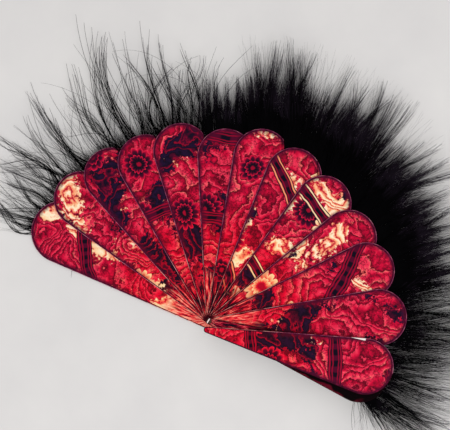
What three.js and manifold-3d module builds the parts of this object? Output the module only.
import * as THREE from "three";
import { mergeVertices } from "three/addons/utils/BufferGeometryUtils.js";
import Module from "manifold-3d";

// Folding fan with feather trim, open, lying on its back. Millimetres, +Z up.
// The origin is on the pivot axis, on the flat back of the rivet head.
// +Y runs along the middle of the open fan.

// Blades from the rear guard (left, lowest) to the front guard (right, on top), cut and set by hand:
// the turn from the rear guard in the open fan, in degrees, and how much longer than BLADE_LENGTH
const BLADES = [
  { turn: 0, longer: 2 },
  { turn: 12.5, longer: 2.5 },
  { turn: 25, longer: 2 },
  { turn: 37, longer: 0.5 },
  { turn: 49.5, longer: 1 },
  { turn: 64.5, longer: -1.5 },
  { turn: 76.5, longer: 1 },
  { turn: 89, longer: -0.5 },
  { turn: 103, longer: -2 },
  { turn: 118, longer: -2.5 },
  { turn: 131, longer: -1.5 },
  { turn: 147.5, longer: 0 },
  { turn: 165, longer: -2.5 },
];
const BLADE_LENGTH = 69.5; // pivot to tip
const TIP_RADIUS = 9.9;
const BASE_RADIUS = 1.1; // round end about the pivot
const REAR_TIP_RADIUS = 11.1; // the rear guard is cut wider than the other blades
const REAR_BASE_RADIUS = 2.9;
const CARD_THICKNESS = 0.4;
const LAYER_GAP = 0.1; // between one blade and the tape of the next
const ARC_SEGMENTS = 11;

// Rivet through the blade roots
const SHANK_RADIUS = 0.5;
const SHANK_CLEARANCE = 0.05;
const HEAD_LIP = 0.6; // how far the head stands out round the shank
const HEAD_THICKNESS = 0.3;
const BURR_LIP = 0.45;
const BURR_THICKNESS = 0.2;
const BURR_FIT = 0.03; // between the burr and the shank
const PEEN_LIP = 0.25;
const PEEN_THICKNESS = 0.15;
const SEAT_GAP = 0.05; // end play over the head and under the burr
const RIVET_SEGMENTS = 24;

// Front guard: a dark backing that turns on the rivet, and the printed leaf stuck over it on a pad.
// The two are askew, so the backing shows below the leaf and the leaf's narrow end passes beside the rivet.
const BACKING_LENGTH = 66;
const BACKING_SKEW_DEG = 3.2;
const LEAF_SKEW_DEG = 3.1;
const PAD_THICKNESS = 0.45;
const PAD_START = 14; // from the rivet
const PAD_START_RADIUS = 1;
const PAD_INSET = 3.6; // from the backing's tip arc

// Feather tufts, each on a strip of tape glued behind its blade
const TAPE_THICKNESS = 0.2;
const TAPE_WIDTH = 12; // how far it reaches in from the blade tip
const TAPE_HALF_DEG = 6.2;
const TUFT_GAP = 0.3; // between the card tips and the down
const TUFT_HALF_DEG = 8.6;
const FRONT_TUFT_HALF_DEG = 13.6;
const LOCK_STEP_DEG = 1.7; // between the pointed locks of down
const LOCK_SWAY_DEG = 1.6;
const LOCK_FAN = 1.12; // how far the locks spread outwards
const LOCK_UNEVEN = 0.28; // share of the reach by which locks differ
const LOCK_BELLY = 0.7; // a lock's width halfway out, as a share of its width at the root
const SWAY_WAVE = { lock: 0.6, tuft: 1.9 }; // phase of the sway, in radians per lock and per tuft
const REACH_WAVE = { lock: 2.3, tuft: 1.1 }; // phase of the reach
const FULL = { reach: 30, root: 15, width: 1 }; // front tufts: root is the closed part
const SPARSE = { reach: 35, root: 4, width: 0.5 }; // rear tufts: few long strands
const SPARSE_TUFTS = 5;
const LOCK_SEGMENTS = 3;

// Derived sizes
const LAYER = TAPE_THICKNESS + CARD_THICKNESS + LAYER_GAP;
const FIRST_CARD_Z = Math.max(HEAD_THICKNESS, TAPE_THICKNESS) + SEAT_GAP;
const LAST = BLADES.length - 1;
const HOLE_RADIUS = SHANK_RADIUS + SHANK_CLEARANCE;
const BACKING_TOP = cardBack(LAST) + CARD_THICKNESS;
const SPREAD_DEG = BLADES[LAST].turn;

// Materials
const PRINTED_CARD = { color: 0x9c1528, roughness: 0.45, metalness: 0 };
const DARK_CARD = { color: 0x2b0c14, roughness: 0.7, metalness: 0 };
const DOWN = { color: 0x0d0c0e, roughness: 0.9, metalness: 0 };
const BRASS = { color: 0x6b5336, roughness: 0.45, metalness: 1 };
const FOAM = { color: 0xe6e2d8, roughness: 0.85, metalness: 0 };

const group = new THREE.Group();
const wasm = await Module();
wasm.setup();

function rad(degrees) {
  return THREE.MathUtils.degToRad(degrees);
}

// Direction of blade i in the open fan
function direction(i) {
  return rad(90 + SPREAD_DEG / 2 - BLADES[i].turn);
}

function bladeLength(i) {
  return BLADE_LENGTH + BLADES[i].longer;
}

// Length of the card that tuft i is glued to
function carrierLength(i) {
  return i === LAST ? BACKING_LENGTH : bladeLength(i);
}

// Radius at which the down of tuft i starts
function tuftInner(i) {
  return carrierLength(i) + TUFT_GAP;
}

// Height of the back face of card i
function cardBack(i) {
  return FIRST_CARD_Z + i * LAYER;
}

function place(name, geometry, material, angle = 0, z = 0, [x, y] = [0, 0]) {
  const mesh = new THREE.Mesh(geometry, new THREE.MeshStandardMaterial(material));
  mesh.name = name;
  mesh.rotation.z = angle;
  mesh.position.set(x, y, z);
  group.add(mesh);
}

function plate(shape, depth, curveSegments = ARC_SEGMENTS) {
  return new THREE.ExtrudeGeometry(shape, { depth, curveSegments, bevelEnabled: false });
}

// A circle at the origin, one on the X axis, and the straight sides that touch both
function teardrop(startRadius, end, endRadius) {
  const lean = Math.acos((startRadius - endRadius) / end);
  const shape = new THREE.Shape();
  shape.absarc(end, 0, endRadius, -lean, lean, false);
  shape.absarc(0, 0, startRadius, lean, 2 * Math.PI - lean, false);
  shape.closePath();
  return shape;
}

// Card that tapers from its round tip to its round end about the pivot
function card(length, pierced, tipRadius = TIP_RADIUS, baseRadius = BASE_RADIUS) {
  const shape = teardrop(baseRadius, length - tipRadius, tipRadius);
  if (pierced) shape.holes.push(new THREE.Path().absarc(0, 0, HOLE_RADIUS, 0, 2 * Math.PI, true));
  return plate(shape, CARD_THICKNESS);
}

function toSolid(geometry) {
  const bare = new THREE.BufferGeometry();
  bare.setAttribute("position", geometry.getAttribute("position"));
  const merged = mergeVertices(bare, 1e-4);
  const triVerts = new Uint32Array(merged.index.array);
  const vertProperties = merged.attributes.position.array;
  return new wasm.Manifold(new wasm.Mesh({ numProp: 3, vertProperties, triVerts }));
}

function toGeometry(solid) {
  const { vertProperties, triVerts } = solid.getMesh();
  const geometry = new THREE.BufferGeometry();
  geometry.setAttribute("position", new THREE.BufferAttribute(vertProperties, 3));
  geometry.setIndex(new THREE.BufferAttribute(triVerts, 1));
  return geometry;
}

// The point at a distance from another, towards an angle in radians
function onRay([x, y], distance, angle) {
  return [x + distance * Math.cos(angle), y + distance * Math.sin(angle)];
}

function polar(radius, degrees) {
  return onRay([0, 0], radius, rad(degrees));
}

// Part of a ring between two radii, from one angle to another
function ringPart(inner, outer, low, high) {
  const shape = new THREE.Shape();
  shape.absarc(0, 0, outer, rad(low), rad(high), false);
  shape.absarc(0, 0, inner, rad(high), rad(low), true);
  shape.closePath();
  return shape;
}

function tuftKind(i) {
  return i < SPARSE_TUFTS ? SPARSE : FULL;
}

// Down of tuft i: a curved root along the blade tips, and bent pointed locks that reach outwards
function downShape(i) {
  const { reach, root, width } = tuftKind(i);
  const high = i === LAST ? FRONT_TUFT_HALF_DEG : TUFT_HALF_DEG;
  const low = -high;
  const count = Math.max(1, Math.round((high - low) / LOCK_STEP_DEG));
  const step = (high - low) / count;
  const inner = tuftInner(i);
  const rootRadius = inner + root;
  const shape = new THREE.Shape();
  shape.absarc(0, 0, inner, rad(high), rad(low), true);
  for (let n = 0; n < count; n++) {
    const middle = low + (n + 0.5) * step;
    const sway = LOCK_SWAY_DEG * Math.sin(SWAY_WAVE.lock * n + SWAY_WAVE.tuft * i);
    const uneven = LOCK_UNEVEN * Math.sin(REACH_WAVE.lock * n + REACH_WAVE.tuft * i) ** 2;
    const tipRadius = inner + reach * (1 - uneven);
    const tip = polar(tipRadius, middle * LOCK_FAN + sway);
    const halfway = (rootRadius + tipRadius) / 2;
    const half = (step * width) / 2;
    const belly = half * LOCK_BELLY;
    shape.lineTo(...polar(rootRadius, middle - half));
    shape.quadraticCurveTo(...polar(halfway, middle - belly), ...tip);
    shape.quadraticCurveTo(...polar(halfway, middle + belly), ...polar(rootRadius, middle + half));
  }
  shape.closePath();
  return shape;
}

function tuft(i) {
  const tapeEnd = tuftInner(i) + tuftKind(i).root / 2; // in the middle of the down's root
  const tape = ringPart(carrierLength(i) - TAPE_WIDTH, tapeEnd, -TAPE_HALF_DEG, TAPE_HALF_DEG);
  const down = plate(downShape(i), TAPE_THICKNESS + CARD_THICKNESS, LOCK_SEGMENTS);
  return toGeometry(toSolid(plate(tape, TAPE_THICKNESS)).add(toSolid(down)));
}

// Solid of revolution about Z from a profile of radius and height
function turned(profile) {
  const points = profile.map(([radius, z]) => new THREE.Vector2(radius, z));
  return new THREE.LatheGeometry(points, RIVET_SEGMENTS).rotateX(Math.PI / 2);
}

// Blades and tufts
const two = (i) => String(i + 1).padStart(2, "0");
const rearGuard = card(bladeLength(0), true, REAR_TIP_RADIUS, REAR_BASE_RADIUS);
place("blade_01_rear_guard", rearGuard, PRINTED_CARD, direction(0), cardBack(0));
for (let i = 1; i < LAST; i++) {
  place(`blade_${two(i)}`, card(bladeLength(i), true), PRINTED_CARD, direction(i), cardBack(i));
}
const backingAngle = direction(LAST) - rad(BACKING_SKEW_DEG);
for (let i = 0; i < BLADES.length; i++) {
  const angle = i === LAST ? backingAngle : direction(i);
  place(`tuft_${two(i)}`, tuft(i), DOWN, angle, cardBack(i) - TAPE_THICKNESS);
}

// Front guard. The printed leaf keeps the direction of its tip and turns about the middle of its tip arc.
const tipReach = bladeLength(LAST) - TIP_RADIUS;
const leafAngle = direction(LAST) + rad(LEAF_SKEW_DEG);
const leafTip = onRay([0, 0], tipReach, direction(LAST));
const leafBase = onRay(leafTip, -tipReach, leafAngle);
const leafZ = BACKING_TOP + PAD_THICKNESS;
const padLength = BACKING_LENGTH - TIP_RADIUS - PAD_START;
const pad = teardrop(PAD_START_RADIUS, padLength, TIP_RADIUS - PAD_INSET);
const padBase = onRay([0, 0], PAD_START, backingAngle);
const backing = card(BACKING_LENGTH, true);
const leaf = card(bladeLength(LAST), false);
place("guard_backing", backing, DARK_CARD, backingAngle, cardBack(LAST));
place("guard_pad", plate(pad, PAD_THICKNESS), FOAM, backingAngle, BACKING_TOP, padBase);
place(`blade_${two(LAST)}_front_guard`, leaf, PRINTED_CARD, leafAngle, leafZ, leafBase);

// Rivet and burr
const burrZ = BACKING_TOP + SEAT_GAP;
const peenZ = burrZ + BURR_THICKNESS;
const peenTop = peenZ + PEEN_THICKNESS;
const headRadius = SHANK_RADIUS + HEAD_LIP;
const peenRadius = SHANK_RADIUS + PEEN_LIP;
const rivet = turned([
  [0, 0],
  [headRadius, 0],
  [headRadius, HEAD_THICKNESS],
  [SHANK_RADIUS, HEAD_THICKNESS],
  [SHANK_RADIUS, peenZ],
  [peenRadius, peenZ],
  [peenRadius, peenTop],
  [0, peenTop],
]);
const burrBore = SHANK_RADIUS + BURR_FIT;
const burrRadius = SHANK_RADIUS + BURR_LIP;
const burr = turned([
  [burrBore, burrZ],
  [burrRadius, burrZ],
  [burrRadius, peenZ],
  [burrBore, peenZ],
  [burrBore, burrZ],
]);
place("pivot_rivet", rivet, BRASS);
place("rivet_burr", burr, BRASS);

export default group;
